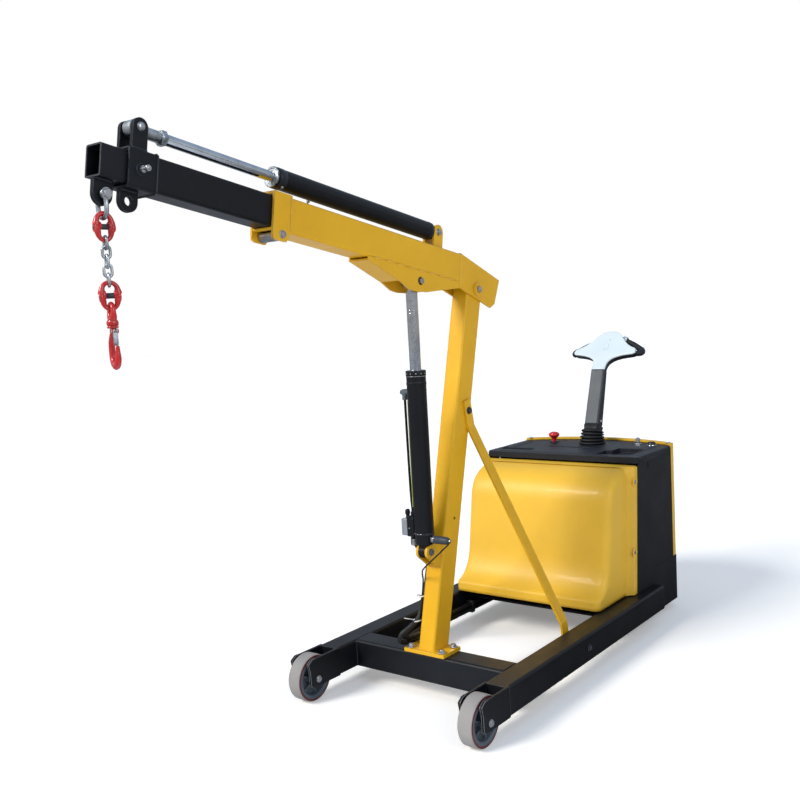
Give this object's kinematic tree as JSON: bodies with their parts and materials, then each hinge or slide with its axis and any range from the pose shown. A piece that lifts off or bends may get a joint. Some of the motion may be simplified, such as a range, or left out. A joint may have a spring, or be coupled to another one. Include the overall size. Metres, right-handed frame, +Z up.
{
  "type": "engine hoist crane",
  "caption": "Battery-powered counterbalanced engine hoist: wheeled frame, leaning mast, telescopic boom on a hydraulic ram, chain and hook, power cabinet with steering tiller.",
  "frame": {"origin": "on the floor, under the middle of the machine's outer box", "axes": "X across the machine, -Y forward along the boom, +Z up"},
  "size_m": [0.788, 2.7028, 1.7774],
  "materials": {
    "yellow_paint": "gloss",
    "black_paint": "satin",
    "grey_panel": "satin",
    "black_cover": "matte",
    "yellow_cover": "gloss",
    "steel": "satin",
    "zinc": "zinc plated",
    "chrome": "polished",
    "red_forged": "gloss",
    "red_plastic": "gloss",
    "rubber": "matte",
    "tread": "matte",
    "drive_tread": "matte",
    "cast_hub": "painted",
    "cast_weight": "rough",
    "dark_metal": "satin",
    "silver_cast": "satin",
    "black_plastic": "matte",
    "battery_case": "matte"
  },
  "bodies": {
    "frame": {"base_frame": "black_paint", "rear_skirt": "grey_panel", "mast": "yellow_paint", "frame_bolts": "zinc", "braces": "yellow_paint", "front_axles": "steel", "front_hood": "yellow_cover", "cover_screws": "zinc", "top_cover": "black_cover", "side_panels": "grey_panel", "rear_cover": "yellow_cover", "battery_pack": "battery_case", "counterweight": "cast_weight", "pump_unit": "dark_metal", "hydraulic_hoses": "rubber", "ram_foot_pin": "zinc", "panel_sockets": "black_plastic"},
    "front_wheel_left": {"front_hub_left": "cast_hub", "front_tyre_left": "tread"},
    "front_wheel_right": {"front_hub_right": "cast_hub", "front_tyre_right": "tread"},
    "caster_fork_left": {"caster_fork_left": "steel"},
    "caster_wheel_left": {"caster_wheel_left": "rubber"},
    "caster_fork_right": {"caster_fork_right": "steel"},
    "caster_wheel_right": {"caster_wheel_right": "rubber"},
    "drive_unit": {"steer_column": "steel", "drive_motor": "dark_metal", "tiller_boot": "rubber"},
    "drive_wheel": {"drive_hub": "cast_hub", "drive_tyre": "drive_tread"},
    "tiller": {"tiller_arm": "cast_hub", "tiller_head": "silver_cast", "tiller_grips": "rubber"},
    "throttle": {"throttle_paddle": "silver_cast"},
    "belly_button": {"belly_button": "red_plastic"},
    "horn_button": {"horn_button": "black_plastic"},
    "lift_rocker": {"lift_rocker": "black_plastic"},
    "stop_button": {"stop_button": "red_plastic"},
    "ignition_key": {"ignition_key": "steel"},
    "boom": {"outer_boom": "yellow_paint", "boom_pins": "zinc", "reach_barrel": "black_paint"},
    "boom_roller": {"boom_roller": "steel"},
    "inner_boom": {"inner_boom": "black_paint", "reach_rod": "chrome"},
    "lock_screw": {"lock_screw": "zinc"},
    "tip": {"tip_tube": "black_paint"},
    "lift_barrel": {"lift_barrel": "black_paint", "lift_valve": "dark_metal"},
    "lift_rod": {"lift_rod": "chrome"},
    "shackle": {"shackle": "zinc"},
    "connector_upper": {"connector_upper": "red_forged"},
    "link_1": {"link_1": "zinc"},
    "link_2": {"link_2": "zinc"},
    "link_3": {"link_3": "zinc"},
    "link_4": {"link_4": "zinc"},
    "link_5": {"link_5": "zinc"},
    "connector_lower": {"connector_lower": "red_forged"},
    "hook": {"hook": "red_forged"},
    "hook_latch": {"hook_latch": "steel"}
  },
  "joints": [
    {"name": "front_wheel_left_spin", "type": "hinge", "parent": "frame", "child": "front_wheel_left", "pos_m": [-0.3435, -0.40958, 0.08], "axis": [1, 0, 0], "continuous": true},
    {"name": "front_wheel_right_spin", "type": "hinge", "parent": "frame", "child": "front_wheel_right", "pos_m": [0.3435, -0.40958, 0.08], "axis": [1, 0, 0], "continuous": true},
    {"name": "caster_left_swivel", "type": "hinge", "parent": "frame", "child": "caster_fork_left", "pos_m": [-0.235, 1.01342, 0.228], "axis": [0, 0, 1], "continuous": true},
    {"name": "caster_left_spin", "type": "hinge", "parent": "caster_fork_left", "child": "caster_wheel_left", "pos_m": [-0.235, 1.04342, 0.05], "axis": [1, 0, 0], "continuous": true},
    {"name": "caster_right_swivel", "type": "hinge", "parent": "frame", "child": "caster_fork_right", "pos_m": [0.235, 1.01342, 0.228], "axis": [0, 0, 1], "continuous": true},
    {"name": "caster_right_spin", "type": "hinge", "parent": "caster_fork_right", "child": "caster_wheel_right", "pos_m": [0.235, 1.04342, 0.05], "axis": [1, 0, 0], "continuous": true},
    {"name": "steering", "type": "hinge", "parent": "frame", "child": "drive_unit", "pos_m": [0, 1.08642, 0.228], "axis": [0, 0, 1], "range_deg": [-60, 60]},
    {"name": "drive_wheel_spin", "type": "hinge", "parent": "drive_unit", "child": "drive_wheel", "pos_m": [0, 1.08642, 0.1], "axis": [1, 0, 0], "continuous": true},
    {"name": "tiller_tilt", "type": "hinge", "parent": "drive_unit", "child": "tiller", "pos_m": [0, 1.08642, 0.713], "axis": [-1, 0, 0], "range_deg": [-15, 55], "deforming": ["tiller_boot"]},
    {"name": "throttle_turn", "type": "hinge", "parent": "tiller", "child": "throttle", "pos_m": [0, 1.3238, 1.12374], "axis": [1, 0, 0], "range_deg": [-20, 20]},
    {"name": "lift_rocker_tilt", "type": "hinge", "parent": "tiller", "child": "lift_rocker", "pos_m": [0, 1.25557, 1.09581], "axis": [1, 0, 0], "range_deg": [-7, 7]},
    {"name": "belly_button_press", "type": "slide", "parent": "tiller", "child": "belly_button", "axis": [0, -0.7071, -0.7071], "range_m": [0, 0.0035]},
    {"name": "horn_button_press", "type": "slide", "parent": "tiller", "child": "horn_button", "axis": [0, 0.7071, -0.7071], "range_m": [0, 0.003]},
    {"name": "stop_button_press", "type": "slide", "parent": "frame", "child": "stop_button", "axis": [0, 0, -1], "range_m": [0, 0.008]},
    {"name": "ignition_key_turn", "type": "hinge", "parent": "frame", "child": "ignition_key", "pos_m": [0.195, 1.12142, 0.7], "axis": [0, 0, 1], "range_deg": [0, 90]},
    {"name": "boom_lift", "type": "hinge", "parent": "frame", "child": "boom", "pos_m": [0, 0.15842, 1.365], "axis": [-1, 0, 0], "range_deg": [-30, 38]},
    {"name": "boom_roller_spin", "type": "hinge", "parent": "boom", "child": "boom_roller", "pos_m": [0, -0.79262, 1.52237], "axis": [1, 0, 0], "continuous": true},
    {"name": "boom_reach", "type": "slide", "parent": "boom", "child": "inner_boom", "axis": [0, -0.9863, 0.165], "range_m": [-0.35, 0.26]},
    {"name": "tip_reach", "type": "slide", "parent": "inner_boom", "child": "tip", "axis": [0, -0.9863, 0.165], "range_m": [-0.01, 0.25]},
    {"name": "lock_screw_turn", "type": "hinge", "parent": "inner_boom", "child": "lock_screw", "pos_m": [0.05, -1.23558, 1.65637], "axis": [1, 0, 0], "continuous": true},
    {"name": "lift_barrel_tilt", "type": "hinge", "parent": "frame", "child": "lift_barrel", "pos_m": [0, -0.16958, 0.5], "axis": [-1, 0, 0], "range_deg": [-1.9, 2.4]},
    {"name": "lift_rod_slide", "type": "slide", "parent": "lift_barrel", "child": "lift_rod", "axis": [0, 0, 1], "range_m": [-0.183, 0.2315]},
    {"name": "shackle_swing", "type": "hinge", "parent": "tip", "child": "shackle", "pos_m": [0, -1.32538, 1.5984], "axis": [1, 0, 0], "range_deg": [-25, 25]},
    {"name": "connector_upper_rock", "type": "hinge", "parent": "shackle", "child": "connector_upper", "pos_m": [0, -1.32538, 1.5454], "axis": [1, 0, 0], "range_deg": [-12, 12]},
    {"name": "link_1_rock", "type": "hinge", "parent": "connector_upper", "child": "link_1", "pos_m": [0, -1.32538, 1.49525], "axis": [0.1736, 0.9848, 0], "range_deg": [-10, 10]},
    {"name": "link_2_rock", "type": "hinge", "parent": "link_1", "child": "link_2", "pos_m": [0, -1.32538, 1.4758], "axis": [0.9724, -0.2334, 0], "range_deg": [-10, 10]},
    {"name": "link_3_rock", "type": "hinge", "parent": "link_2", "child": "link_3", "pos_m": [0, -1.32538, 1.45465], "axis": [-0.2924, -0.9563, 0], "range_deg": [-10, 10]},
    {"name": "link_4_rock", "type": "hinge", "parent": "link_3", "child": "link_4", "pos_m": [0, -1.32538, 1.4335], "axis": [-0.9367, 0.3502, 0], "range_deg": [-10, 10]},
    {"name": "link_5_rock", "type": "hinge", "parent": "link_4", "child": "link_5", "pos_m": [0, -1.32538, 1.41235], "axis": [0.4067, 0.9135, 0], "range_deg": [-10, 10]},
    {"name": "connector_lower_rock", "type": "hinge", "parent": "link_5", "child": "connector_lower", "pos_m": [0, -1.32538, 1.3912], "axis": [0.887, -0.4617, 0], "range_deg": [-12, 12]},
    {"name": "hook_rock", "type": "hinge", "parent": "connector_lower", "child": "hook", "pos_m": [0, -1.32538, 1.33905], "axis": [-0.515, -0.8572, 0], "range_deg": [-12, 12]},
    {"name": "hook_latch_swing", "type": "hinge", "parent": "hook", "child": "hook_latch", "pos_m": [0.01311, -1.33028, 1.2884], "axis": [0.3502, 0.9367, 0], "range_deg": [0, 35]}
  ],
  "couplings": [
    {"joint": "lift_barrel_tilt", "follows": "boom_lift", "ratio": 0.06},
    {"joint": "lift_rod_slide", "follows": "boom_lift", "m_per_rad": 0.3476}
  ]
}
